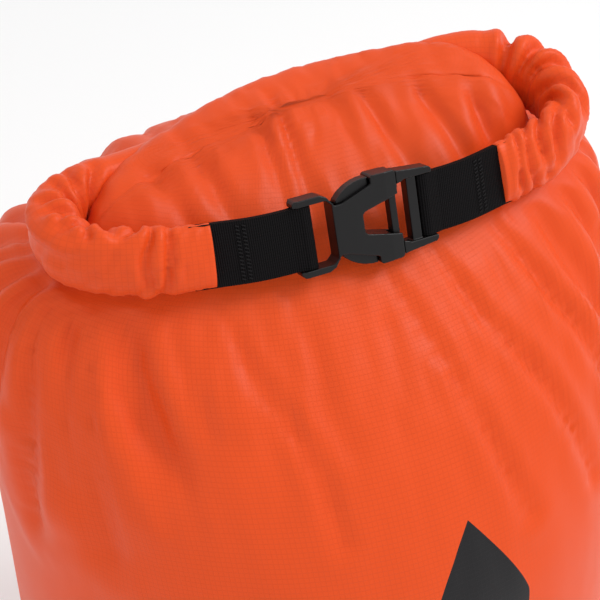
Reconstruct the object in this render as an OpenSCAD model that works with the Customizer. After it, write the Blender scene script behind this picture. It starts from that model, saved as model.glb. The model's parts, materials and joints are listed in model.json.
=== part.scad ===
// Roll-top dry bag, packed and closed: a wrapped fabric body on a round base, its mouth rolled
// into a closure whose two ends are bent forward and clipped with a side-release buckle.
// Millimetres. +Z is up, the front faces -Y, and the origin is the centre of the base.

/* [Body] */
// Largest radius of the packed body
body_r = 144; // [138:1:150]
// Radius of the sewn base
base_r = 128; // [122:1:130]
// Thickness that stands for the coated fabric
fabric_t = 1.2; // [0.8:0.1:1.6]
// Clearance between the fabric and the load in it
load_gap = 0.3; // [0.2:0.1:0.6]

/* [Rolled closure] */
// Half the width of the closed ring, along X
ring_a = 114.5; // [113:0.5:117]
// Half the depth of the closed ring, along Y
ring_b = 37; // [36:0.5:39]
// Height of the strap's centreline above the base
ring_z = 405; // [403:1:410]
// How much higher the roll lies at the back than at the strap
ring_rise = 6; // [4:1:8]
// Height of the rolled band
roll_h = 29; // [28:0.5:30]
// Thickness of the roll at the back
roll_t = 18; // [16:0.5:20]
// Thickness of the roll where the webbing leaves it
roll_end_t = 11; // [10:0.5:13]

/* [Webbing] */
// Width of the webbing
web_w = 25; // [24:0.5:25]
// Thickness of one layer of webbing
web_t = 1.4; // [1.2:0.1:1.5]
// Half the distance between the two ends of the roll
strap_half = 63; // [61:1:66]
// How far the webbing runs on inside the roll
web_tuck = 8; // [7:1:9]
// Backward lean of the webbing and buckle
strap_tilt = 20; // [16:1:22]

/* [Buckle] */
// Length of the closed buckle, end to end
buckle_len = 60; // [60:0.5:61]
// Height of the buckle over its latch collar
collar_h = 36; // [36:0.5:38]
// Thickness of the socket
socket_t = 9; // [8.6:0.2:10]
// Running clearance between the two halves
buckle_gap = 0.3; // [0.2:0.05:0.35]

/* [Hidden] */

fabric_colour = "orangered";
black = "#1c1c1e";

// The ring's centreline is a squarish ellipse, and a power of 1 would make it a true one. Angle 0
// is at the buckle, 180 at the back.
ring_power = 0.84;
ring_y = -44 + ring_b;
strap_y = ring_y - ring_b;
function angle_at_x(x) = asin(pow(x / ring_a, 1 / ring_power));
function angle_at_y(y) = let (k = (ring_y - y) / ring_b) acos(sign(k) * pow(abs(k), 1 / ring_power));
open_angle = angle_at_x(strap_half);
// The ends of the ring fold up about an axis along X, where the roll turns forward.
fold_y = -12;
layer_half = web_t + 0.05;
channel_half = layer_half + 1.05;
fold_angle = angle_at_y(fold_y);
neck_y = -4;
neck_back = ring_y + ring_b - roll_t / 2 - 1.5;
knuckle_r = roll_h / 2;
turn_from = angle_at_y(fold_y + knuckle_r + 0.5);
turn_to = 122;
back_from = turn_to + 1;

// Rows of the body's skin, from the base up: half width, front y, back y, and the height at the
// front, side and back.
body_rows = [
    [base_r + 0.5, -base_r - 0.5, base_r + 0.5, 4.3, 4.3, 4.3],
    [body_r - 8.5, -body_r + 8.5, body_r - 8.5, 14, 14, 14],
    [body_r - 5, -body_r + 5, body_r - 5, 40, 40, 40],
    [body_r - 1.5, -body_r + 1.5, body_r - 1.5, 90, 90, 90],
    [body_r, -body_r, body_r, 150, 150, 150],
    [body_r, -body_r + 1, body_r, 205, 205, 205],
    [body_r - 0.5, -137, body_r, 250, 250, 250],
    [body_r - 2, -123, body_r - 1, 285, 285, 285],
    [body_r - 6, -101, body_r - 4, 320, 320, 320],
    [132, -75, 130, 350, 350, 350],
    [122, -55, 116, 370, 369, 372],
    [110, -39, 98, 384, 380, 385],
    [102, -31, 76, 390, 385, 387.5],
    [98, -26, neck_back, 396, 390, 389.5],
    [95, -24, neck_back - 2, 401, 399, 400],
    [87, -19, neck_back - 6, 407, 406, 407],
    [64, -13, neck_back - 14, 411, 411, 411],
    [28, -8, neck_y + 3, 412.6, 412.6, 412.6]];
body_sides = 56;
seam_half = 0.35;

// ---------- points and sweeps ----------

function mix(a, b, t) = a + (b - a) * t;
function smooth(t) = t * t * (3 - 2 * t);
function clamp(t) = min(1, max(0, t));

// A point of the skin in row r at angle q, moved in by d.
function skin_point(r, q, d) =
    let (row = body_rows[r],
         upper = r > 10 ? 1 : 0,
         mid = r > 11 ? neck_y : (row[1] + row[2]) / 2,
         reach = sin(q) < 0 ? mid - row[1] - d : row[2] - d - mid,
         lift = sin(q) * sin(q),
         z = mix(row[4], sin(q) < 0 ? row[3] : row[5], lift))
    [(row[0] - d) * cos(q), mid + reach * sin(q), z - upper * d];

// The two triangles of a four-sided face, turned over if asked.
function two_triangles(a, b, c, d, flip) =
    flip ? [[a, c, b], [a, d, c]] : [[a, b, c], [a, c, d]];

// Closed solid from rings of n points each, with flat ends.
module skin_of_rings(points, n) {
    rings = len(points) / n;
    sides = [for (i = [0 : rings - 2], j = [0 : n - 1])
        let (k = (j + 1) % n)
        each two_triangles(i * n + j, i * n + k, (i + 1) * n + k, (i + 1) * n + j, true)];
    first = [for (j = [0 : n - 1]) j];
    last = [for (j = [n - 1 : -1 : 0]) (rings - 1) * n + j];
    polyhedron(points = points, faces = concat(sides, [first, last]), convexity = 6);
}

// Ring position, outward normal and lean at angle q. Side is 1 on the right, -1 on the left.
function signed_power(v, p) = sign(v) * pow(abs(v), p);
function ring_at(q) =
    [ring_a * signed_power(sin(q), ring_power), ring_y - ring_b * signed_power(cos(q), ring_power),
     ring_z + ring_rise * (1 - cos(q)) / 2];
function ring_out(q) =
    let (p = 2 - ring_power,
         v = [signed_power(sin(q), p) / ring_a, -signed_power(cos(q), p) / ring_b, 0])
    v / norm(v);
function lean_at(q) = strap_tilt * (1 - smooth(clamp((q - open_angle) / (fold_angle - open_angle))));
function thick_at(q) = mix(roll_end_t, roll_t, smooth(clamp((q - open_angle) / 60)));

// Half height of the roll at angle q: full, but round about the fold axis past that axis.
function half_h_at(q, knuckle) =
    let (back = ring_at(q)[1] - fold_y)
    knuckle && back > 0 ? sqrt(max(4, knuckle_r * knuckle_r - back * back)) : roll_h / 2;

// A flat oval of the roll at angle q, with half height h and half thickness t. Power is 1 for an
// ellipse and less for squarer corners.
function oval_at(q, h, t, n, power) =
    let (c = ring_at(q), out = ring_out(q), lean = lean_at(q),
         across = cos(lean) * out + [0, 0, sin(lean)],
         up = [0, 0, cos(lean)] - sin(lean) * out)
    [for (j = [0 : n - 1])
        let (w = 360 * j / n, s = sin(w), k = cos(w))
        c + up * h * signed_power(s, power) + across * t * signed_power(k, power)];

// A stretch of the roll between two ring angles, with a flat channel through it for the strip.
module roll_stretch(from, to, steps, knuckle = false) {
    n = 20;
    rows = [for (i = [0 : steps]) mix(from, to, i / steps)];
    outer = [for (q = rows) each oval_at(q, half_h_at(q, knuckle), thick_at(q) / 2, n, 0.8)];
    inner = [for (q = rows)
        let (room = half_h_at(q, knuckle) - 1)
        each oval_at(q, min(web_w / 2 + 0.9, room), min(channel_half, room), n, 0.5)];
    count = len(outer);
    function wall(at, flip) = [for (i = [0 : steps - 1], j = [0 : n - 1])
        let (a = at + i * n + j, b = at + i * n + (j + 1) % n)
        each two_triangles(a, b, b + n, a + n, flip)];
    function cap(at, flip) = [for (j = [0 : n - 1])
        let (a = at + j, b = at + (j + 1) % n)
        each two_triangles(a, a + count, b + count, b, flip)];
    polyhedron(points = concat(outer, inner), convexity = 8,
               faces = concat(wall(0, false), wall(count, true), cap(0, false), cap(steps * n, true)));
}

// One rectangle across a strip of half height h and half thickness t.
function strip_row(c, across, up, h, t) =
    [c - up * h - across * t, c + up * h - across * t, c + up * h + across * t, c - up * h + across * t];

// The stiffening strip in the core of the roll between two ring angles.
module strip_stretch(from, to, steps, half_h = 11) {
    skin_of_rings([for (i = [0 : steps])
        let (q = mix(from, to, i / steps), lean = lean_at(q), out = ring_out(q))
        each strip_row(ring_at(q), cos(lean) * out + [0, 0, sin(lean)],
                       [0, 0, cos(lean)] - sin(lean) * out, half_h, 0.6)], 4);
}

module on_side(side) {
    if (side < 0) mirror([1, 0, 0]) children();
    else children();
}

// ---------- body ----------

module body_panel() {
    n = body_sides;
    rows = len(body_rows);
    seam_angle = seam_half / body_r * 57.3;
    angles = [for (j = [0 : n]) mix(90 + seam_angle, 450 - seam_angle, j / n)];
    m = n + 1;
    outer = [for (r = [0 : rows - 1], q = angles) skin_point(r, q, 0)];
    inner = [for (r = [0 : rows - 1], q = angles) skin_point(r, q, fabric_t)];
    count = len(outer);
    function wall(at, flip) = [for (r = [0 : rows - 2], j = [0 : m - 2])
        let (a = at + r * m + j)
        each two_triangles(a, a + 1, a + m + 1, a + m, !flip)];
    hem = [for (j = [0 : m - 2]) each two_triangles(j, j + 1, count + j + 1, count + j, false)];
    top = [for (j = [0 : m - 2])
        let (a = (rows - 1) * m + j)
        each two_triangles(a + 1, a, count + a, count + a + 1, false)];
    edges = [for (r = [0 : rows - 2], end = [0, m - 1])
        let (a = r * m + end, b = a + m)
        each two_triangles(a, a + count, b + count, b, end > 0)];
    color(fabric_colour)
        polyhedron(points = concat(outer, inner), convexity = 8,
                   faces = concat(wall(0, false), wall(count, true), hem, top, edges));
}

module base_panel() {
    color(fabric_colour) cylinder(r = base_r - 2.2, h = fabric_t, $fn = 96);
}

// Bound seam that joins the base to the body.
module base_binding() {
    color(fabric_colour)
        rotate_extrude($fn = 96) translate([base_r - 2, 0.3])
            union() {
                square([3, 2.4]);
                translate([1.5, 2.4]) circle(r = 1.5, $fn = 32);
            }
}

// Felled seam down the back, where the wrapped panel meets itself, and its tape inside.
seam_w = 10;
function seam_band(d0, d1, from, to) = [for (r = [from : to])
    let (half = seam_w / 2 / body_r * 57.3)
    each [skin_point(r, 90 - half, d0), skin_point(r, 90 + half, d0),
          skin_point(r, 90 + half, d1), skin_point(r, 90 - half, d1)]];
module back_seam() {
    color(fabric_colour) skin_of_rings(seam_band(-0.1, -0.9, 0, 10), 4);
}

module seam_tape() {
    color("gainsboro") skin_of_rings(seam_band(fabric_t + 0.6, fabric_t + 0.2, 0, 10), 4);
}

// The load that keeps the bag in shape, clear of the tape.
module packed_load() {
    n = body_sides;
    rows = len(body_rows);
    tape_room = 0.6;
    function ring(r, in) = [for (j = [0 : n - 1])
        let (q = 360 * j / n, near = abs(q - 90) < 8 && r < 12)
        skin_point(r, q, near ? in + tape_room : in)];
    floor = [for (j = [0 : n - 1])
        let (q = 360 * j / n) [(base_r - 6) * cos(q), (base_r - 6) * sin(q), fabric_t + 0.3]];
    color("tan") skin_of_rings(concat(floor, [for (r = [0 : rows - 1]) each ring(r, fabric_t + load_gap)]), n);
}

// ---------- rolled closure ----------

module roll_back() {
    color(fabric_colour) roll_stretch(back_from, 360 - back_from, 26);
}

module roll_turn(side) {
    color(fabric_colour) on_side(side) roll_stretch(turn_from, turn_to, 4);
}

module roll_end(side) {
    color(fabric_colour) on_side(side)
        roll_stretch(open_angle, turn_from - 3, 16, knuckle = true);
}

module stiffener_back() {
    color("dimgray") strip_stretch(back_from + 1, 359 - back_from, 26);
}

module stiffener(side) {
    color("dimgray") on_side(side) strip_stretch(open_angle + 9, fold_angle - 4, 8);
}

// ---------- webbing and buckle, in the plane of the strap ----------

bar_x = 26.2;
bar_half_x = 1.7;
bar_half_t = 1.5;
loop_r = bar_half_x + web_t + 0.15;

// In here X runs along the strap, Y up it, and Z out of its face.
module strap_plane() {
    translate([0, strap_y, ring_z]) rotate([90 - strap_tilt, 0, 0]) children();
}

// Centre, outward, upward and lengthwise directions of the webbing at distance x from the middle.
// It leaves the buckle flat and eases onto the ring's centreline.
web_from = 30;
function web_at(x) =
    let (q = angle_at_x(x), ease = smooth(clamp((x - web_from) / (strap_half - web_from))),
         on_ring = ring_at(q), c = [x, mix(strap_y, on_ring[1], ease), mix(ring_z, on_ring[2], ease)],
         out = mix([0, -1, 0], ring_out(q), ease), flat = out / norm(out),
         across = cos(strap_tilt) * flat + [0, 0, sin(strap_tilt)],
         up = [0, 0, cos(strap_tilt)] - sin(strap_tilt) * flat)
    [c, across, up, cross(up, across)];

// Two layers of webbing that run from the roll to a loop round the buckle's bar.
module webbing(side) {
    xs = [for (i = [0 : 12]) mix(web_from, strap_half + web_tuck, i / 12)];
    color(black) on_side(side) {
        skin_of_rings([for (x = xs) let (w = web_at(x)) each strip_row(w[0], w[1], w[2], web_w / 2, layer_half)], 4);
        strap_plane() rotate([90, 0, 0]) linear_extrude(web_w, center = true)
            difference() {
                union() {
                    translate([bar_x, 0]) circle(r = loop_r, $fn = 48);
                    polygon([[bar_x, loop_r], [32, layer_half], [32, -layer_half], [bar_x, -loop_r]]);
                }
                translate([bar_x, 0]) circle(r = loop_r - web_t, $fn = 48);
            }
    }
}

// Two dense rows of stitches across both layers, on the front and the back face.
module bartack(side) {
    color(black) on_side(side)
        for (x = [50.5, 53], face = [-1, 1], y = [-10.5 : 1.5 : 10.5]) {
            w = web_at(x);
            at = w[0] + w[2] * y + w[1] * face * (layer_half + 0.22);
            multmatrix([for (k = [0 : 2]) [w[3][k], w[2][k], w[1][k], at[k]]])
                rotate([0, 0, 25 * face]) cube([1.6, 0.5, 0.3], center = true);
        }
}

rail_in = web_w / 2 + 0.3;
rail_out = rail_in + 2.6;
socket_end = -buckle_len / 2 - 1;
plug_end = buckle_len / 2 - 1;
mouth_x = 13;
collar_x = 2;
channel_in = 9.2;
channel_out = collar_h / 2 - 1.7;
channel_t = 2.7;

// Mirrors an outline drawn for Y above 0 to both halves.
module both_halves() {
    children();
    mirror([0, 1, 0]) children();
}

module bar(x, half_t, half_w = bar_half_x) {
    translate([x, 0, 0]) rotate([90, 0, 0])
        linear_extrude(2 * rail_in + 1, center = true)
            hull() for (s = [-1, 1]) translate([s * (half_w - half_t), 0]) circle(r = half_t, $fn = 24);
}

// Side profile of the socket: thin at the webbing end, full over the latches, eased at the mouth.
module socket_profile() {
    t = socket_t / 2;
    polygon([[socket_end, -2.6], [socket_end, 2.6], [socket_end + 1.6, 3.9], [-18, 3.9],
             [-13, t - 0.2], [-6, t], [8, t], [mouth_x, t - 0.5], [mouth_x, -t + 0.5],
             [8, -t], [-6, -t], [-13, -t + 0.2], [-18, -3.9], [socket_end + 1.6, -3.9]]);
}

module socket_outline() {
    both_halves() polygon([[-15.2, -0.01], [-15.2, rail_in - 2], [-17.5, rail_in],
        [socket_end, rail_in], [socket_end, rail_out - 1.1], [socket_end + 1.1, rail_out],
        [-19.5, rail_out], [-17, rail_out - 1.2], [-14, rail_out - 5.4], [-11, rail_out - 5.2],
        [collar_x, 14.6], [collar_x, collar_h / 2 - 0.8], [collar_x + 0.9, collar_h / 2],
        [mouth_x - 1, collar_h / 2 - 0.2], [mouth_x, collar_h / 2 - 1], [mouth_x, 8.1],
        [-1.8, 4.6], [-3, 3.6], [-3, -0.01]]);
}

// Where the latch arms run inside the socket, open at the sides and the mouth.
module latch_channel() {
    both_halves() polygon([[mouth_x + 0.1, channel_in], [-3, 5.8], [-4.4, 2.4], [-13.6, 2.4],
        [-13.6, 20], [collar_x, 20], [collar_x, channel_out], [mouth_x + 0.1, channel_out]]);
}

module buckle_socket() {
    color(black) strap_plane() union() {
        difference() {
            intersection() {
                linear_extrude(socket_t, center = true) socket_outline();
                rotate([90, 0, 0]) linear_extrude(collar_h + 2, center = true) socket_profile();
            }
            linear_extrude(2 * channel_t, center = true) latch_channel();
            translate([mouth_x - 2.1, 0, 0]) cube([4.4, 2 * channel_in + 0.6, 2 * channel_t], center = true);
        }
        bar(-bar_x, bar_half_t);
    }
}

// The plug's rails, its two guide blocks in the socket's mouth and the crossbars between them.
module buckle_plug() {
    block_out = channel_out - buckle_gap;
    block_t = channel_t - buckle_gap;
    color(black) strap_plane() union() {
        linear_extrude(2 * 3.6, center = true) both_halves()
            polygon([[mouth_x + buckle_gap, rail_in - 1.2], [15.5, rail_in - 0.6], [16.5, rail_in],
                [plug_end, rail_in], [plug_end, rail_out - 1.1], [plug_end - 1.1, rail_out],
                [mouth_x + 3, collar_h / 2 - 1.4], [mouth_x + buckle_gap, collar_h / 2 - 1]]);
        linear_extrude(2 * block_t, center = true) both_halves()
            polygon([[9.6, channel_in + buckle_gap], [mouth_x + 1, channel_in + 2 * buckle_gap],
                [mouth_x + 1, block_out], [9.6, block_out]]);
        translate([11.3, 0, 0]) cube([3, 2 * channel_in + 1.4, 2 * block_t - 0.4], center = true);
        translate([20, 0, 0]) cube([4.2, 2 * rail_in + 1, 5.2], center = true);
        bar(bar_x, bar_half_t);
    }
}

// A latch arm: a leaf that springs from the guide block and ends in the pad that is pressed.
module latch_arm(side) {
    arm_root = 9.3;
    shoulder_x = collar_x - buckle_gap;
    pad_out = collar_h / 2 - 0.6;
    color(black) strap_plane() scale([1, side, 1])
        intersection() {
            linear_extrude(5, center = true)
                polygon([[arm_root, 10.3], [arm_root, 13], [shoulder_x, 13.4], [shoulder_x, pad_out],
                    [-1, pad_out - 0.1], [-4, pad_out - 0.7], [-7, pad_out - 1.8], [-10, pad_out - 3.6],
                    [-12.6, pad_out - 6], [-13, pad_out - 7.2], [-12.4, 9.6], [-9, 9.4],
                    [-3, 9.8]]);
            translate([0, 14, 0]) rotate([0, 90, 0]) translate([0, 0, -20])
                cylinder(r = 4.7, h = 40, $fn = 48);
        }
}

body_panel();
base_panel();
base_binding();
back_seam();
seam_tape();
packed_load();
roll_back();
stiffener_back();
roll_turn(-1);  // roll_turn_left
roll_end(-1);  // roll_end_left
stiffener(-1);  // stiffener_left
webbing(-1);  // webbing_left
bartack(-1);  // bartack_left
buckle_socket();
roll_turn(1);  // roll_turn_right
roll_end(1);  // roll_end_right
stiffener(1);  // stiffener_right
webbing(1);  // webbing_right
bartack(1);  // bartack_right
buckle_plug();
latch_arm(1);  // latch_arm_upper
latch_arm(-1);  // latch_arm_lower
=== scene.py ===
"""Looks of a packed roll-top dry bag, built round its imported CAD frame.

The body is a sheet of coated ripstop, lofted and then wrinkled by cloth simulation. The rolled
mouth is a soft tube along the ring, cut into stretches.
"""
import json
import math

import bpy
import numpy as np
from mathutils import Matrix, Vector, noise
from mathutils.kdtree import KDTree


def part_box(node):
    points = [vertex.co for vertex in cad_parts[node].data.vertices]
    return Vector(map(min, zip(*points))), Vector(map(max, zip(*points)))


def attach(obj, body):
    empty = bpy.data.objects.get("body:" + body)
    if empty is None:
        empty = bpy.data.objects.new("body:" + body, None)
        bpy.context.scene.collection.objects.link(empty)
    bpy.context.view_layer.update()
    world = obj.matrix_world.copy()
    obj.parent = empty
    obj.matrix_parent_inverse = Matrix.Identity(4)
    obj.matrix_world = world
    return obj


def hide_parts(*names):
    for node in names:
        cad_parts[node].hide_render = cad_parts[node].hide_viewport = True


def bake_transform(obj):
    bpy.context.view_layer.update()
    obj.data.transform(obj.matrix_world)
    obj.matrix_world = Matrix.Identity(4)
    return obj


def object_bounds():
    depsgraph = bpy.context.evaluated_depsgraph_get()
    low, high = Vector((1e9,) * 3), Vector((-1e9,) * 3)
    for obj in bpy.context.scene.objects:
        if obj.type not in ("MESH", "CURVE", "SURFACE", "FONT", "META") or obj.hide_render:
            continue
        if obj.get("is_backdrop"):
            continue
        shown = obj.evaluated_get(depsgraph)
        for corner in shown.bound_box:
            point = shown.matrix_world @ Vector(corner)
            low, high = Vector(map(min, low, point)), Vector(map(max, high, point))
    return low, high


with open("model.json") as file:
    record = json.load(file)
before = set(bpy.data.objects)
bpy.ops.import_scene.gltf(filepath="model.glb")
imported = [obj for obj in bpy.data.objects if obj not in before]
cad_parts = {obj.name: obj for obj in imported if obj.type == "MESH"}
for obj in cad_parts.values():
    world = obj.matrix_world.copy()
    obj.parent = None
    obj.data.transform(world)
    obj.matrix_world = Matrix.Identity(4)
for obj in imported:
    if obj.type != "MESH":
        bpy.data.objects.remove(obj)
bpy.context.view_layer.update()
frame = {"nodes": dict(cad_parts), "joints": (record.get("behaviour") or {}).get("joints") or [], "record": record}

MM = 0.001
MOUNTS = {m["name"]: m for m in frame["record"]["mounts"]}
STRAP = np.array(MOUNTS["carry_loop"]["pos_m"]) / MM
FOLD = np.array([j for j in frame["joints"] if j["name"] == "lift_left"][0]["pos_m"]) / MM
RANDOM = np.random.default_rng(11)
MARK_Z = 264


# ---------- camera ----------

def basis_of_view(azimuth, elevation):
    """Right, up and back directions of a camera that looks along -back."""
    a, e = math.radians(azimuth), math.radians(elevation)
    back = np.array([math.sin(a) * math.cos(e), -math.cos(a) * math.cos(e), math.sin(e)])
    right = np.array([math.cos(a), math.sin(a), 0.0])
    return right, np.cross(back, right), back


def make_camera():
    right, up, back = basis_of_view(-26, 38.2)
    distance, across, above = 560, 25.7, 31.2
    place = (STRAP + back * distance - right * across - up * above) * MM
    data = bpy.data.cameras.new("camera")
    data.lens = 86.6
    data.sensor_width = 36
    data.clip_start, data.clip_end = 0.01, 20
    camera = bpy.data.objects.new("camera", data)
    bpy.context.scene.collection.objects.link(camera)
    turn = Matrix([[right[k], up[k], back[k]] for k in range(3)]).to_4x4()
    camera.matrix_world = Matrix.Translation(Vector(place)) @ turn
    bpy.context.scene.camera = camera


# ---------- small tools ----------

def smooth(t):
    t = np.clip(t, 0, 1)
    return t * t * (3 - 2 * t)


def signed_power(v, p):
    return np.sign(v) * np.abs(v) ** p


def unit(v):
    return v / np.maximum(np.linalg.norm(v, axis=-1, keepdims=True), 1e-12)


def grid_object(name, points, uv, loop_across=True, caps=(False, False)):
    """Mesh object from points[row, column] in mm, closed across the columns if asked."""
    rows, columns = points.shape[:2]
    mesh = bpy.data.meshes.new(name)
    faces, face_uv = [], []
    last = columns if loop_across else columns - 1
    for i in range(rows - 1):
        for j in range(last):
            k = (j + 1) % columns
            faces.append((i * columns + j, i * columns + k, (i + 1) * columns + k, (i + 1) * columns + j))
            face_uv += [uv[i, j], uv[i, j + 1], uv[i + 1, j + 1], uv[i + 1, j]]
    for row, capped in zip((0, rows - 1), caps):
        if capped:
            order = list(range(columns - 1, -1, -1)) if row == 0 else list(range(columns))
            faces.append(tuple(row * columns + j for j in order))
            face_uv += [uv[row, j] for j in order]
    mesh.from_pydata((points.reshape(-1, 3) * MM).tolist(), [], faces)
    layer = mesh.uv_layers.new(name="flat")
    layer.data.foreach_set("uv", np.array(face_uv, float).ravel())
    mesh.shade_smooth()
    obj = bpy.data.objects.new(name, mesh)
    bpy.context.scene.collection.objects.link(obj)
    return obj


def coords(obj):
    co = np.zeros(len(obj.data.vertices) * 3)
    obj.data.vertices.foreach_get("co", co)
    return co.reshape(-1, 3) / MM


def set_coords(obj, co):
    obj.data.vertices.foreach_set("co", (co * MM).ravel())
    obj.data.update()


def normals(obj):
    n = np.zeros(len(obj.data.vertices) * 3)
    obj.data.vertices.foreach_get("normal", n)
    return n.reshape(-1, 3)


def cloth(obj, rest, pins, frames, pressure, bending, cap):
    """Wrinkles obj by cloth simulation. rest is its cut shape, pins holds how firmly each point
    is held, and cap is how far a point may move, in mm."""
    start = coords(obj)
    obj.shape_key_add(name="Basis")
    key = obj.shape_key_add(name="cut")
    key.data.foreach_set("co", (rest * MM).ravel())
    group = obj.vertex_groups.new(name="held")
    for value in np.unique(pins):
        if value > 0:
            group.add([int(k) for k in np.nonzero(pins == value)[0]], float(value), "REPLACE")
    modifier = obj.modifiers.new("cloth", "CLOTH")
    s = modifier.settings
    s.quality = 5
    s.mass = 0.15
    s.tension_stiffness = 25
    s.compression_stiffness = 25
    s.shear_stiffness = 8
    s.bending_stiffness = bending
    s.air_damping = 2
    s.effector_weights.gravity = 0
    s.use_pressure = True
    s.uniform_pressure_force = pressure
    s.vertex_group_mass = "held"
    s.pin_stiffness = 1
    s.rest_shape_key = key
    modifier.collision_settings.use_collision = False
    scene = bpy.context.scene
    modifier.point_cache.frame_start = 1
    modifier.point_cache.frame_end = frames
    for f in range(1, frames + 1):
        scene.frame_set(f)
    moved = np.zeros(len(start) * 3)
    shown = obj.evaluated_get(bpy.context.evaluated_depsgraph_get()).to_mesh()
    shown.vertices.foreach_get("co", moved)
    moved = moved.reshape(-1, 3) / MM
    obj.modifiers.remove(modifier)
    obj.shape_key_clear()
    obj.vertex_groups.clear()
    scene.frame_set(1)
    step = moved - start
    length = np.linalg.norm(step, axis=1, keepdims=True)
    step *= np.minimum(1, cap * np.tanh(length / cap) / np.maximum(length, 1e-9))
    set_coords(obj, start + step)
    print(obj.name, "cloth moved mean", length.mean().round(2), "max", length.max().round(2))


# ---------- ring ----------

RING_POWER = 0.84
RING_RISE = 6
STRAP_TILT = 20
BOX_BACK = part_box("roll_back")
RING_HALF_X = (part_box("roll_turn_right")[1][0] / MM) - 7.6
RING_BACK = BOX_BACK[1][1] / MM - 9
RING_HALF_Y = (RING_BACK - STRAP[1]) / 2
RING_MID_Y = (RING_BACK + STRAP[1]) / 2
STRAP_HALF = 63


def ring_at(q):
    """Centre of the roll at ring angle q in degrees: 0 at the buckle, 180 at the back."""
    q = np.radians(q)
    s, c = np.sin(q), np.cos(q)
    return np.stack([RING_HALF_X * signed_power(s, RING_POWER),
                     RING_MID_Y - RING_HALF_Y * signed_power(c, RING_POWER),
                     STRAP[2] + RING_RISE * (1 - c) / 2], -1)


def angle_at_x(x):
    return np.degrees(np.arcsin((np.asarray(x) / RING_HALF_X) ** (1 / RING_POWER)))


def angle_at_y(y):
    k = (RING_MID_Y - y) / RING_HALF_Y
    return math.degrees(math.acos(math.copysign(abs(k) ** (1 / RING_POWER), k)))


OPEN_ANGLE = float(angle_at_x(STRAP_HALF))
FOLD_ANGLE = angle_at_y(FOLD[1])


def settle(points):
    """The roll as it lies: its right bend rides up on the load and its left half sinks a little."""
    x, y, z = points[..., 0], points[..., 1], points[..., 2]
    top = smooth((z - 372) / 26)
    right = np.exp(-((x - 92) / 46) ** 2 - ((y - 26) / 34) ** 2)
    left = np.exp(-((x + 62) / 46) ** 2 - ((y - 26) / 30) ** 2)
    moved = points.copy()
    moved[..., 2] += top * (9.0 * right - 4.0 * left)
    moved[..., 1] += top * (5.0 * right - 4.0 * left)
    moved[..., 2] -= 13.0 * smooth((z - 335) / 30) * np.exp(-((x + 74) / 52) ** 2 - ((y - 92) / 40) ** 2)
    return moved


def ring_out(q):
    q = np.radians(q)
    p = 2 - RING_POWER
    return unit(np.stack([signed_power(np.sin(q), p) / RING_HALF_X,
                          -signed_power(np.cos(q), p) / RING_HALF_Y, 0 * q], -1))


def ring_frame(q):
    """Centre, outward and upward directions of the roll at ring angle q, 0 to 360."""
    q = np.asarray(q, float)
    near = np.minimum(q, 360 - q)
    lean = np.radians(STRAP_TILT * (1 - smooth((near - OPEN_ANGLE) / (FOLD_ANGLE - OPEN_ANGLE))))[:, None]
    out, z = ring_out(q), np.array([0, 0, 1.0])
    return ring_at(q), np.cos(lean) * out + np.sin(lean) * z, np.cos(lean) * z - np.sin(lean) * out


# ---------- body ----------

# Rows of the body's sheet, from the base seam to the top of the front panel inside the ring:
# half width, front y, side y, back y, and the height at the front, side and back.
BODY_ROWS = np.array([
    [127.5, -127.5, 0, 127.5, 2.5, 2.5, 2.5],
    [130.5, -130.5, 0, 130.5, 6, 6, 6],
    [137, -137, 0, 137, 18, 18, 18],
    [141, -141, 0, 141, 44, 44, 44],
    [144.5, -144, 0, 144, 92, 92, 92],
    [146.5, -146, 0, 146, 150, 150, 150],
    [147, -146, 0, 146, 205, 205, 205],
    [147, -140, 1, 146, 248, 250, 250],
    [147, -128, 3, 145, 283, 289, 287],
    [146.5, -108, 6, 144, 316, 325, 322],
    [145, -84, 8, 139, 344, 355, 346],
    [138, -64, 6, 128, 364, 375, 362],
    [127, -49, 2, 108, 379, 386, 371],
    [112, -39, -2, 80, 388, 389, 378],
    [103, -32, -4, 56, 394.5, 392, 386],
    [101, -27, -4, 43, 399, 399, 396],
    [98, -22, -4, 42, 404, 406, 413],
    [93, -16, -3, 41, 409, 412, 424.5],
    [84, -8, 0, 37, 414, 417, 429.5],
    [68, 0, 6, 31, 418.5, 420, 430],
    [44, 7, 12, 23, 423, 424, 428.5],
    [14, 13, 15, 17, 426, 426, 427]])
COLUMNS = 264
BODY_STEPS = 150
TOP_FINENESS = 2.2
# From this row, and this step of the finished grid, the sheet is inside the ring.
INSIDE_ROW = 14
INSIDE_STEP = 96
# Radius the sheet's own coordinates are laid out at.
SHEET_RADIUS = 0.145


def spline(rows, t):
    """Catmull-Rom through rows at t, counted in rows."""
    padded = np.vstack([2 * rows[0] - rows[1], rows, 2 * rows[-1] - rows[-2]])
    i = np.minimum(t.astype(int), len(rows) - 2)
    f = (t - i)[:, None]
    p0, p1, p2, p3 = (padded[i + k] for k in range(4))
    return 0.5 * (2 * p1 + (p2 - p0) * f + (2 * p0 - 5 * p1 + 4 * p2 - p3) * f ** 2
                  + (3 * p1 - p0 - 3 * p2 + p3) * f ** 3)


def body_points(t):
    rows = spline(BODY_ROWS, t)[:, None, :]
    angle = np.radians(90 + 360 * np.arange(COLUMNS) / COLUMNS)[None, :]
    c, s = np.cos(angle), np.sin(angle)
    w, front, side, back, z_front, z_side, z_back = (rows[..., k] for k in range(7))
    y = np.where(s < 0, side + (side - front) * s, side + (back - side) * s)
    share = np.where(s < 0, s * s, np.abs(s) ** np.where(t[:, None] > 14, 0.75, 2))
    z = z_side + (np.where(s < 0, z_front, z_back) - z_side) * share
    bump = 12 * np.exp(-((w * c - 38) / 32) ** 2 - ((y - 82) / 22) ** 2) * (t[:, None] < INSIDE_ROW)
    return settle(np.stack([w * c, y, z + bump * smooth((z - 340) / 20)], -1))


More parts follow.
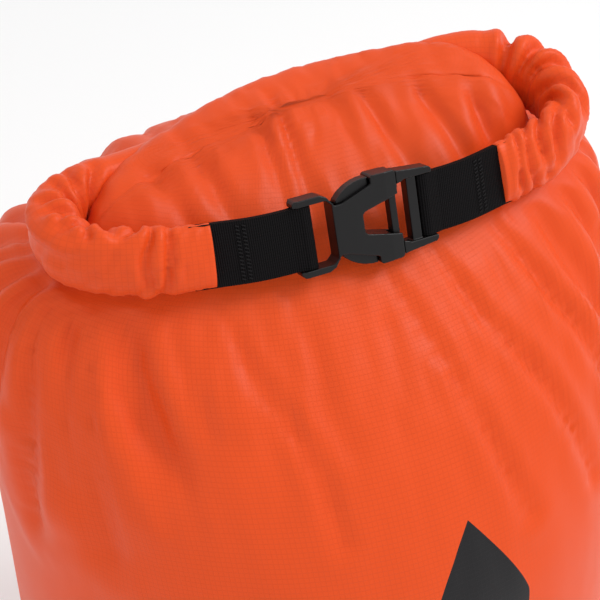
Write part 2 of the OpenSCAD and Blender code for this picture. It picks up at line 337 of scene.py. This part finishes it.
def body_grid():
    fine = np.linspace(0, len(BODY_ROWS) - 1, 900)
    p = body_points(fine)
    run = np.r_[0, np.cumsum(np.linalg.norm(np.diff(p, axis=0), axis=2).mean(1)
                             * np.interp(p[1:, :, 2].mean(1), [150, 330], [1, TOP_FINENESS]))]
    t = np.interp(np.linspace(0, run[-1], BODY_STEPS), run, fine)
    points = body_points(t)
    along = np.vstack([np.zeros(COLUMNS), np.cumsum(np.linalg.norm(np.diff(points, axis=0), axis=2), axis=0)])
    across = np.arange(COLUMNS + 1) / COLUMNS * 2 * math.pi * SHEET_RADIUS
    uv = np.zeros((BODY_STEPS, COLUMNS + 1, 2))
    uv[..., 0] = across[None, :]
    uv[:, :-1, 1] = along * MM
    uv[:, -1, 1] = along[:, 0] * MM
    return points, uv


# Creases of the body: points that each runs through, its half width, and its depth.
CREASES = [
    # under the left wing: the deep drop and the pleats that fan out over the shoulder
    ([(-97, -36, 388), (-103, -60, 368), (-106, -80, 345)], 6.5, 8.0),
    ([(-82, -40, 388), (-84, -62, 366), (-80, -80, 348)], 4, 2.5),
    ([(-110, -30, 388), (-124, -52, 362), (-130, -66, 335), (-131, -74, 300)], 5, 5.0),
    ([(-114, -24, 388), (-133, -38, 366), (-141, -48, 325)], 5, 5.5),
    ([(-116, -14, 389), (-134, -22, 376), (-144, -28, 340), (-146, -30, 290)], 4.5, 5.5),
    ([(-116, -4, 389), (-134, -6, 380), (-145, -8, 345)], 4, 5.0),
    ([(-117, 6, 390), (-133, 10, 382), (-146, 14, 350), (-147, 15, 300)], 4.5, 5.5),
    ([(-116, 16, 390), (-131, 26, 382), (-143, 34, 345)], 4, 5.0),
    ([(-113, 26, 390), (-126, 42, 381), (-137, 54, 345)], 5, 5.0),
    ([(-104, 36, 388), (-116, 60, 376), (-126, 76, 345)], 5, 5.0),
    # below the strap
    ([(-64, -42, 392), (-58, -66, 366), (-48, -92, 338), (-42, -112, 308)], 2.6, 2.6),
    ([(-36, -42, 392), (-33, -66, 366), (-30, -92, 338)], 3, 1.6),
    ([(2, -42, 392), (14, -66, 366), (26, -94, 336), (42, -122, 296)], 2.6, 2.8),
    ([(26, -42, 392), (42, -66, 364), (64, -92, 330), (84, -112, 290)], 2.8, 3.0),
    ([(60, -42, 390), (76, -60, 366), (96, -78, 334), (112, -88, 296)], 3.2, 3.6),
    ([(84, -40, 388), (100, -58, 364), (116, -70, 334)], 4.5, 4.5),
    # right shoulder
    ([(104, -34, 388), (120, -50, 362), (132, -60, 330), (134, -62, 292)], 5, 5.5),
    ([(113, -22, 388), (132, -34, 360), (141, -40, 325)], 5, 5.0),
    ([(116, -8, 388), (136, -10, 360), (146, -12, 318)], 5, 5.0),
    ([(116, 6, 388), (135, 12, 364), (145, 16, 322)], 4.5, 4.5),
    ([(112, 20, 389), (126, 36, 372), (137, 46, 336)], 5, 5.0),
    # inside the ring, from the crest to the strap
    ([(-9, 30, 427), (-10, 5, 418), (-13, -24, 402), (-15, -40, 391)], 2.8, 2.6),
    ([(-20, 30, 427), (-20, 8, 419), (-22, -20, 404)], 2.6, 1.8),
    ([(-52, 28, 424), (-50, 6, 414), (-46, -22, 402)], 3, 2.2),
    ([(-76, 22, 416), (-68, 2, 411), (-62, -20, 400)], 3, 2.4),
    ([(24, 30, 427), (28, 6, 418), (34, -22, 402)], 3, 2.0),
    ([(52, 28, 424), (54, 6, 414), (60, -20, 400)], 3, 2.4),
    ([(78, 20, 414), (74, 2, 410), (76, -18, 398)], 3.2, 3.0)]


def back_creases():
    """Folds that fan down from the roll over the back of the body."""
    made = []
    for x in np.linspace(-92, 92, 13):
        x = x + RANDOM.uniform(-4, 4)
        turn = x / 92 * RANDOM.uniform(0.1, 0.45)
        reach = RANDOM.uniform(40, 105)
        spread = x * (1 + 0.2 * reach / 100)
        path = [(x, 54, 386), (x * 1.06 + turn * 10, 84, 377),
                (spread + turn * 30, 126, 364 - 0.2 * reach), (spread + turn * 50, 142, 364 - reach)]
        width, depth = RANDOM.uniform(3, 5), RANDOM.uniform(2, 4.5)
        made.append((path, width, depth * (0.55 if x < 0 else 1)))
    return made


def press_creases(obj, creases, strength=1.0):
    """Pushes a valley with a low ridge beside it into obj along each crease."""
    co, n = coords(obj), normals(obj)
    tree = KDTree(len(co))
    for k, c in enumerate(co):
        tree.insert(c, k)
    tree.balance()
    push = np.zeros(len(co))
    for points, width, depth in creases:
        line = np.array([tree.find(p)[0] for p in points])
        fine = np.linspace(0, len(line) - 1, 24)
        path = spline(line, fine)
        gap = co[:, None, :] - path[None, :, :]
        distance = np.linalg.norm(gap, axis=2)
        nearest = distance.argmin(1)
        d, s = distance[np.arange(len(co)), nearest], nearest / 23
        taper = np.sin(np.pi * np.clip(0.16 + 0.84 * (1 - s), 0, 1)) ** 0.7
        taper = taper * np.where(s < 0.12, 0.75 + 2 * s, 1)
        w = width * (0.75 + 0.8 * s)
        push += depth * taper * (0.32 * np.exp(-((d - 2.2 * w) / (1.2 * w)) ** 2) - np.exp(-(d / w) ** 1.35))
    set_coords(obj, co + n * (push * strength)[:, None])


def crumple(u, v, seed, octaves=3):
    """Ridged noise at (u, v), about -1 to 1, with sharp valleys."""
    out = np.zeros(len(u))
    for k in range(octaves):
        f = 1.9 ** k
        for i in range(len(u)):
            out[i] += abs(noise.noise(Vector((u[i] * f + 31 * k + seed, v[i] * f, seed)))) / 1.7 ** k
    return np.clip(out * 3.2 - 1, -1, 1)


def make_body():
    points, uv = body_grid()
    body = grid_object("body_fabric", points, uv, caps=(False, True))
    creases = CREASES + back_creases()
    press_creases(body, creases, 0.8)
    start = coords(body)
    z = start[:, 2]
    flat = uv[:, :-1].reshape(-1, 2) / MM
    inside = smooth((np.repeat(np.arange(BODY_STEPS), COLUMNS) - INSIDE_STEP) / 8)
    folds = crumple(flat[:, 0] / 22, flat[:, 1] / 120, 3.7)
    folds = folds * (0.2 + 0.8 * smooth((z - 250) / 130)) * smooth(z / 40)
    basin = crumple(start[:, 0] / 15, start[:, 1] / 42, 5.1) * 0.55
    start += normals(body) * (folds * (1 - inside) + basin * inside)[:, None]
    set_coords(body, start)
    surplus = smooth((z - 180) / 190)
    rest = start.copy()
    rest[:, 0] *= 1 + 0.09 * surplus
    rest[:, 1] *= 1 + 0.05 * surplus
    pins = np.zeros(len(start))
    pins[:COLUMNS * 3] = 1
    ring = settle(ring_at(np.linspace(OPEN_ANGLE + 4, 356 - OPEN_ANGLE, 240)))
    gap = np.linalg.norm(start[:, None, :2] - ring[None, :, :2], axis=2).min(1)
    pins[(gap < 5.5) & (z > 380)] = 1
    cloth(body, rest, pins, 20, 1.6, 0.05, 8)
    press_creases(body, creases, 0.6)
    fine = crumple(flat[:, 0] / 8, flat[:, 1] / 46, 9.1) * 0.48 * smooth((z - 270) / 90)
    set_coords(body, coords(body) + normals(body) * (fine * (1 - inside))[:, None])
    return body


# ---------- roll ----------

TUBE_AROUND = 64
TUBE_STEPS = 400


def roll_section(q):
    """Half height and half thickness of the roll at ring angle q."""
    near = np.minimum(q, 360 - q)
    bend = np.exp(-((near - 95) / 30) ** 2)
    half_h = 12.7 + 1.4 * smooth((near - OPEN_ANGLE) / 60) + 0.4 * bend
    half_t = 4.4 + 4.2 * smooth((near - OPEN_ANGLE) / 55) + 0.8 * bend
    return half_h, half_t


def on_roll(q, w):
    """A point of the roll's skin: w is 0 on its outside, 90 on top and 180 on its inside."""
    centre, out, up = ring_frame(np.array([q], float))
    half_h, half_t = roll_section(np.array([q], float))
    w = math.radians(w)
    return settle(centre + out * half_t[:, None] * math.cos(w) + up * half_h[:, None] * math.sin(w))[0]


# Creases of the roll, each as points (ring angle, section angle), a half width and a depth.
ROLL_CREASES = [
    # left end: upright pleats by the webbing, then small facets over its upper face
    ([(320, 110), (319, 40), (318, -40), (316, -80)], 1.5, 1.8),
    ([(313, 120), (315, 60), (312, 10), (314, -50)], 1.4, 1.4),
    ([(307, 160), (310, 100), (306, 60)], 1.3, 1.5),
    ([(302, 170), (298, 120), (302, 80)], 1.5, 1.8),
    ([(298, 120), (292, 90), (294, 60)], 1.2, 1.2),
    ([(290, 175), (291, 120), (284, 75)], 1.5, 1.9),
    ([(284, 130), (278, 95), (280, 65)], 1.3, 1.5),
    ([(276, 190), (279, 130), (270, 80)], 1.7, 2.3),
    ([(268, 150), (262, 110), (264, 70)], 1.3, 1.6),
    ([(262, 200), (258, 140), (250, 90)], 1.6, 2.2),
    ([(252, 180), (246, 130), (240, 80)], 1.5, 1.8),
    ([(244, 200), (236, 140), (230, 100)], 1.5, 1.6),
    ([(300, 40), (285, 30), (268, 36), (252, 44)], 2.2, -1.4),
    # right end: folds that fan out from the inside of the bend
    ([(122, 200), (120, 130), (118, 70), (114, 20)], 2.0, 3.0),
    ([(114, 190), (108, 130), (104, 80), (100, 20)], 1.8, 2.6),
    ([(106, 190), (97, 130), (92, 80), (88, 20)], 1.8, 2.6),
    ([(96, 200), (84, 140), (78, 90), (72, 30)], 1.7, 2.4),
    ([(84, 190), (72, 140), (64, 90), (60, 40)], 1.6, 2.2),
    ([(72, 150), (60, 90), (52, 40), (50, -20)], 1.5, 2.0),
    ([(60, 170), (50, 100), (44, 40), (46, -40)], 1.4, 1.8),
    ([(48, 140), (41, 80), (38, 10), (40, -60)], 1.3, 1.6),
    ([(38, 120), (36, 60), (35, -20), (36, -70)], 1.2, 1.4)]


def back_roll_creases():
    """Short folds across the back of the roll."""
    made = []
    for q in np.arange(134, 230, 13.0):
        q = q + RANDOM.uniform(-3, 3)
        slant = RANDOM.uniform(-5, 5)
        path = [(q, 40), (q + slant, 0), (q + 2 * slant, -70)]
        made.append((path, RANDOM.uniform(1.4, 2.2), RANDOM.uniform(0.4, 1.1)))
    return made


def make_roll():
    """The whole roll as one soft tube, from the left webbing round the back to the right one."""
    q = np.linspace(360 - OPEN_ANGLE, OPEN_ANGLE, TUBE_STEPS)
    run = np.r_[0, np.cumsum(np.linalg.norm(np.diff(ring_at(q), axis=0), axis=1))]
    q = np.interp(np.linspace(0, run[-1], TUBE_STEPS), run, q)
    centre, out, up = ring_frame(q)
    run = np.linspace(0, run[-1], TUBE_STEPS)
    w = 2 * math.pi * np.arange(TUBE_AROUND) / TUBE_AROUND
    half_h, half_t = roll_section(q)
    c, s = signed_power(np.cos(w), 0.88), signed_power(np.sin(w), 0.88)
    points = settle(centre[:, None] + out[:, None] * (half_t[:, None] * c)[..., None]
                    + up[:, None] * (half_h[:, None] * s)[..., None])
    girth = np.r_[0, np.cumsum(np.hypot(np.diff(np.r_[c, c[0]] * 9), np.diff(np.r_[s, s[0]] * 14)))]
    uv = np.zeros((TUBE_STEPS, TUBE_AROUND + 1, 2))
    uv[..., 0] = (girth * MM)[None, :]
    uv[..., 1] = (run * MM)[:, None]
    tube = grid_object("roll_fabric", points, uv)
    creases = [([on_roll(*p) for p in path], width, depth)
               for path, width, depth in ROLL_CREASES + back_roll_creases()]
    press_creases(tube, creases, 1.0)
    flat = uv[:, :-1].reshape(-1, 2) / MM
    ease = np.repeat(smooth(np.minimum(run, run[-1] - run) / 6), TUBE_AROUND)
    folds = crumple(flat[:, 1] / 11 + flat[:, 0] / 30, flat[:, 0] / 34, 8.3)
    near = np.minimum(q, 360 - q)
    rough = np.repeat(0.12 + 0.62 * smooth((138 - near) / 30), TUBE_AROUND)
    start = coords(tube) + normals(tube) * (folds * rough * ease)[:, None]
    set_coords(tube, start)
    # the cut is straight, so the inside of each bend has cloth to spare
    rest = np.stack(np.broadcast_arrays((run * 1.05)[:, None], half_t[:, None] * c, half_h[:, None] * s), -1)
    pins = np.zeros((TUBE_STEPS, TUBE_AROUND))
    pins[:3] = pins[-3:] = 1
    cloth(tube, rest.reshape(-1, 3).copy(), pins.ravel(), 12, 1.5, 0.03, 2.5)
    press_creases(tube, creases, 0.7)
    return tube, q


# Ring angles where the roll is cut into stretches.
RIGHT_ANGLE = 128
LEFT_ANGLE = 232
END_ANGLE = 73.3


def cut_tube(tube, q, name, low, high):
    """The stretch of the tube between two ring angles, as an object of its own."""
    rows = [i for i in range(len(q)) if low <= q[i] <= high]
    first, last = max(rows[0] - 1, 0), rows[-1]
    co = coords(tube).reshape(len(q), TUBE_AROUND, 3)[first:last + 1]
    layer = tube.data.uv_layers["flat"].data
    uv = np.zeros((len(q), TUBE_AROUND + 1, 2))
    flat = np.zeros(len(layer) * 2)
    layer.foreach_get("uv", flat)
    flat = flat.reshape(len(q) - 1, TUBE_AROUND, 4, 2)
    uv[:-1, :-1], uv[:-1, -1] = flat[:, :, 0], flat[:, -1, 1]
    uv[-1, :-1], uv[-1, -1] = flat[-1, :, 3], flat[-1, -1, 2]
    return grid_object(name, co, uv[first:last + 1], caps=(first == 0, last == len(q) - 1))


# ---------- stage ----------

def make_stage():
    mesh = bpy.data.meshes.new("floor")
    half = 6
    corners = [(-half, -half, 0), (half, -half, 0), (half, half, 0), (-half, half, 0)]
    mesh.from_pydata(corners, [], [(0, 1, 2, 3)])
    floor = bpy.data.objects.new("floor", mesh)
    bpy.context.scene.collection.objects.link(floor)
    material = bpy.data.materials.new("floor")
    material.use_nodes = True
    shader = material.node_tree.nodes["Principled BSDF"]
    shader.inputs["Base Color"].default_value = (0.93, 0.93, 0.93, 1)
    shader.inputs["Roughness"].default_value = 0.9
    mesh.materials.append(material)
    floor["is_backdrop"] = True


def area_light(name, place, aim, size, power):
    data = bpy.data.lights.new(name, "AREA")
    data.shape = "RECTANGLE"
    data.size = data.size_y = size
    data.energy = power
    light = bpy.data.objects.new(name, data)
    light.location = place
    light.rotation_euler = (Vector(aim) - Vector(place)).to_track_quat("-Z", "Y").to_euler()
    bpy.context.scene.collection.objects.link(light)


def make_lights():
    scene = bpy.context.scene
    world = bpy.data.worlds.new("world")
    world.use_nodes = True
    world.node_tree.nodes["Background"].inputs["Color"].default_value = (1, 1, 1, 1)
    world.node_tree.nodes["Background"].inputs["Strength"].default_value = 0.88
    scene.world = world
    scene.view_settings.view_transform = "Standard"
    area_light("key", (1.0, -0.5, 1.5), (0, 0, 0.35), 0.6, 12)
    area_light("fill", (-1.3, -1.1, 0.9), (0, 0, 0.35), 1.0, 1)


# ---------- other pieces ----------

def make_seam(body):
    """The doubled back seam: a narrow strip on the body's skin along its first column."""
    co = coords(body).reshape(BODY_STEPS, COLUMNS, 3)
    n = normals(body).reshape(BODY_STEPS, COLUMNS, 3)
    rows = [i for i in range(BODY_STEPS) if 4.5 < co[i, 0, 2] < 372 and co[i, 0, 1] > 60]
    columns = [COLUMNS - 2, COLUMNS - 1, 0, 1, 2]
    lift = [0.1, 0.9, 1.0, 0.9, 0.1]
    strip = np.array([[co[i, j] + n[i, j] * h for j, h in zip(columns, lift)] for i in rows])
    uv = np.zeros((len(rows), len(columns), 2))
    uv[..., 0] = np.linspace(0, 0.012, len(columns))[None, :]
    uv[..., 1] = strip[..., 2] * MM
    return grid_object("seam_back", strip, uv, loop_across=False)


def make_fill(body):
    """What is packed inside: a closed soft bulk that stops at the ring's inner edge."""
    co = coords(body).reshape(BODY_STEPS, COLUMNS, 3)[:INSIDE_STEP - 6:3, ::6]
    n = normals(body).reshape(BODY_STEPS, COLUMNS, 3)[:INSIDE_STEP - 6:3, ::6]
    inner = co - n * 11
    inner[..., 2] = np.maximum(inner[..., 2], 2.0)
    uv = np.zeros((inner.shape[0], inner.shape[1] + 1, 2))
    return grid_object("load_fill", inner, uv, caps=(True, True))


def soften(obj, voxel, steps):
    """Rounds a moulded part's edges."""
    remesh = obj.modifiers.new("remesh", "REMESH")
    remesh.mode = "VOXEL"
    remesh.voxel_size = voxel * MM
    remesh.use_smooth_shade = True
    even = obj.modifiers.new("smooth", "SMOOTH")
    even.factor = 0.5
    even.iterations = steps


# ---------- materials ----------

class Nodes:
    """Short way to wire a material's nodes."""

    def __init__(self, name, roughness):
        self.material = bpy.data.materials.new(name)
        self.material.use_nodes = True
        self.tree = self.material.node_tree
        self.shader = self.tree.nodes["Principled BSDF"]
        self.shader.inputs["Roughness"].default_value = roughness

    def add(self, kind, **values):
        node = self.tree.nodes.new(kind)
        for key, value in values.items():
            setattr(node, key, value)
        return node

    def feed(self, socket, value):
        if isinstance(value, bpy.types.NodeSocket):
            self.tree.links.new(value, socket)
        else:
            socket.default_value = value

    def math(self, operation, *values):
        node = self.add("ShaderNodeMath", operation=operation)
        for socket, value in zip(node.inputs, values):
            self.feed(socket, value)
        return node.outputs[0]

    def noise(self, vector, scale, detail=3.0):
        node = self.add("ShaderNodeTexNoise")
        self.feed(node.inputs["Vector"], vector)
        node.inputs["Scale"].default_value = scale
        node.inputs["Detail"].default_value = detail
        return node.outputs["Fac"]

    def mix(self, share, one, two):
        node = self.add("ShaderNodeMix", data_type="RGBA")
        for socket, value in zip((node.inputs[0], node.inputs[6], node.inputs[7]), (share, one, two)):
            self.feed(socket, value)
        return node.outputs[2]

    def bump(self, height, depth, strength=1.0):
        node = self.add("ShaderNodeBump")
        self.feed(node.inputs["Height"], height)
        node.inputs["Distance"].default_value = depth * MM
        node.inputs["Strength"].default_value = strength
        self.feed(self.shader.inputs["Normal"], node.outputs["Normal"])


def lines(kit, value, pitch, width):
    """1 on thin lines repeated every pitch along value, in metres, else 0."""
    place = kit.math("FRACT", kit.math("DIVIDE", value, pitch))
    return kit.math("GREATER_THAN", kit.math("ABSOLUTE", kit.math("SUBTRACT", place, 0.5)), 0.5 - width / 2)


def fabric_material(name, colour, mark=None):
    """Coated ripstop from the flat sheet's own coordinates; mark is (u, v) of a plain droplet print."""
    kit = Nodes(name, 0.43)
    flat = kit.add("ShaderNodeUVMap", uv_map="flat").outputs[0]
    place = kit.add("ShaderNodeSeparateXYZ")
    kit.feed(place.inputs[0], flat)
    u, v = place.outputs[0], place.outputs[1]
    grid = kit.math("MAXIMUM", lines(kit, u, 0.0021, 0.14), lines(kit, v, 0.0021, 0.14))
    spots = kit.noise(flat, 26, 5)
    fine = kit.noise(flat, 900, 2)
    tint = kit.mix(spots, (*[c * 0.93 for c in colour], 1), (*colour, 1))
    tint = kit.mix(kit.math("MULTIPLY", grid, 0.14), tint, (*[c * 0.55 for c in colour], 1))
    if mark:
        du = kit.math("ABSOLUTE", kit.math("SUBTRACT", u, mark[0]))
        dv = kit.math("SUBTRACT", v, mark[1])
        radius, rise = 0.024, 0.042
        across = kit.math("POWER", kit.math("ABSOLUTE", kit.math("DIVIDE", dv, radius)), 2.0)
        across = kit.math("MAXIMUM", 0.0, kit.math("SUBTRACT", 1.0, across))
        below = kit.math("MULTIPLY", kit.math("SQRT", across), radius)
        climb = kit.math("POWER", kit.math("MAXIMUM", 0.0, kit.math("DIVIDE", dv, rise)), 1.25)
        climb = kit.math("MAXIMUM", 0.0, kit.math("SUBTRACT", 1.0, climb))
        above = kit.math("MULTIPLY", climb, radius)
        below = kit.math("ADD", below, kit.math("GREATER_THAN", dv, 0.0))
        drop = kit.math("LESS_THAN", du, kit.math("MINIMUM", below, above))
        wave = kit.math("MULTIPLY", kit.math("SINE", kit.math("MULTIPLY", u, 260.0)), 0.0018)
        level = kit.math("ABSOLUTE", kit.math("SUBTRACT", kit.math("ADD", dv, wave), -0.036))
        level = kit.math("LESS_THAN", level, 0.003)
        bars = kit.math("MULTIPLY", kit.math("LESS_THAN", du, 0.026), level)
        ink = kit.math("MAXIMUM", drop, bars)
        tint = kit.mix(ink, tint, (0.012, 0.011, 0.012, 1))
    kit.feed(kit.shader.inputs["Base Color"], tint)
    kit.shader.inputs["Specular IOR Level"].default_value = 0.2
    kit.shader.inputs["Sheen Weight"].default_value = 0.03
    kit.shader.inputs["Sheen Roughness"].default_value = 0.5
    rough = kit.math("ADD", kit.math("MULTIPLY", spots, 0.14), 0.36)
    kit.feed(kit.shader.inputs["Roughness"], rough)
    height = kit.math("ADD", kit.math("MULTIPLY", grid, 0.5), kit.math("MULTIPLY", fine, 0.5))
    kit.bump(height, 0.10, 0.7)
    return kit.material


def webbing_material():
    kit = Nodes("webbing", 0.72)
    place = kit.add("ShaderNodeTexCoord").outputs["Object"]
    split = kit.add("ShaderNodeSeparateXYZ")
    kit.feed(split.inputs[0], place)
    along = kit.math("ABSOLUTE", split.outputs[0])
    ribs = kit.math("ABSOLUTE", kit.math("SINE", kit.math("MULTIPLY", along, math.pi / 0.00085)))
    yarn = kit.math("SINE", kit.math("MULTIPLY", split.outputs[2], 2 * math.pi / 0.0011))
    height = kit.math("ADD", ribs, kit.math("MULTIPLY", yarn, 0.22))
    height = kit.math("ADD", height, kit.math("MULTIPLY", kit.noise(place, 1500), 0.35))
    kit.shader.inputs["Specular IOR Level"].default_value = 0.06
    tint = kit.mix(ribs, (0.002, 0.0018, 0.002, 1), (0.008, 0.007, 0.0075, 1))
    kit.feed(kit.shader.inputs["Base Color"], tint)
    kit.bump(height, 0.28, 0.9)
    return kit.material


def thread_material():
    kit = Nodes("thread", 0.6)
    kit.shader.inputs["Base Color"].default_value = (0.007, 0.006, 0.0065, 1)
    kit.shader.inputs["Specular IOR Level"].default_value = 0.15
    kit.bump(kit.noise(kit.add("ShaderNodeTexCoord").outputs["Object"], 4000), 0.08)
    return kit.material


def plastic_material():
    kit = Nodes("buckle_plastic", 0.36)
    place = kit.add("ShaderNodeTexCoord").outputs["Object"]
    kit.shader.inputs["Base Color"].default_value = (0.0045, 0.004, 0.0043, 1)
    kit.shader.inputs["Specular IOR Level"].default_value = 0.3
    grain = kit.noise(place, 2600, 2)
    rough = kit.math("ADD", kit.math("MULTIPLY", kit.noise(place, 300), 0.14), 0.28)
    kit.feed(kit.shader.inputs["Roughness"], rough)
    kit.bump(grain, 0.05, 0.6)
    return kit.material


def goods_material():
    kit = Nodes("packed_goods", 0.9)
    kit.shader.inputs["Base Color"].default_value = (0.28, 0.30, 0.32, 1)
    kit.bump(kit.noise(kit.add("ShaderNodeTexCoord").outputs["Object"], 120), 1.2)
    return kit.material


# ---------- assembly ----------

make_camera()
make_stage()
make_lights()

ORANGE = (0.755, 0.073, 0.0085)
body = make_body()
points = coords(body).reshape(BODY_STEPS, COLUMNS, 3)
front = points[:, COLUMNS // 2]
climbing = front[:, 1] < -60
arc = np.r_[0, np.cumsum(np.linalg.norm(np.diff(body_grid()[0][:, COLUMNS // 2], axis=0), axis=1))]
mark_at = (SHEET_RADIUS * math.pi + 0.010, float(np.interp(MARK_Z, front[climbing, 2], arc[climbing])) * MM)
printed = fabric_material("coated_ripstop_printed", ORANGE, mark_at)
fabric = fabric_material("coated_ripstop", ORANGE)
body.data.materials.append(printed)
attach(body, "bag")
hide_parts("body_panel")

seam = make_seam(body)
seam.data.materials.append(fabric)
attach(seam, "bag")
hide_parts("back_seam", "seam_tape")

fill = make_fill(body)
fill.data.materials.append(goods_material())
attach(fill, "bag")
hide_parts("packed_load")

tube, ring_angles = make_roll()
ROLL = [
    # name, ring angles, bodies, blend points, CAD nodes it stands for
    ("roll_fabric_left", LEFT_ANGLE, 360, ("bag", "left_end"), ((0, 8), (0, -20)),
     ("roll_end_left", "roll_turn_left", "stiffener_left")),
    ("roll_fabric_back", RIGHT_ANGLE, LEFT_ANGLE, ("bag",), None, ("roll_back", "stiffener_back")),
    ("roll_fabric_right", END_ANGLE, RIGHT_ANGLE, ("bag", "right_end"), ((0, 8), (0, -20)),
     ("roll_turn_right",)),
    ("roll_fabric_tip", 0, END_ANGLE, ("right_end", "plug_end"), ((110, -20), (63, -44)),
     ("roll_end_right", "stiffener_right"))]
for name, low, high, bodies, span, nodes in ROLL:
    part = cut_tube(tube, ring_angles, name, low, high)
    part.data.materials.append(fabric)
    if span:
        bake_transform(part)
    else:
        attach(part, *bodies)
    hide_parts(*nodes)
bpy.data.objects.remove(tube)

webbing, thread, plastic = webbing_material(), thread_material(), plastic_material()
for node, obj in frame["nodes"].items():
    if obj.hide_render:
        continue
    obj.data.materials.clear()
    if node.startswith(("buckle", "latch")):
        obj.data.materials.append(plastic)
        soften(obj, 0.3, 5)
    elif node.startswith("webbing"):
        obj.data.materials.append(webbing)
    elif node.startswith("bartack"):
        obj.data.materials.append(thread)
    else:
        obj.data.materials.append(fabric)

low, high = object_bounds()
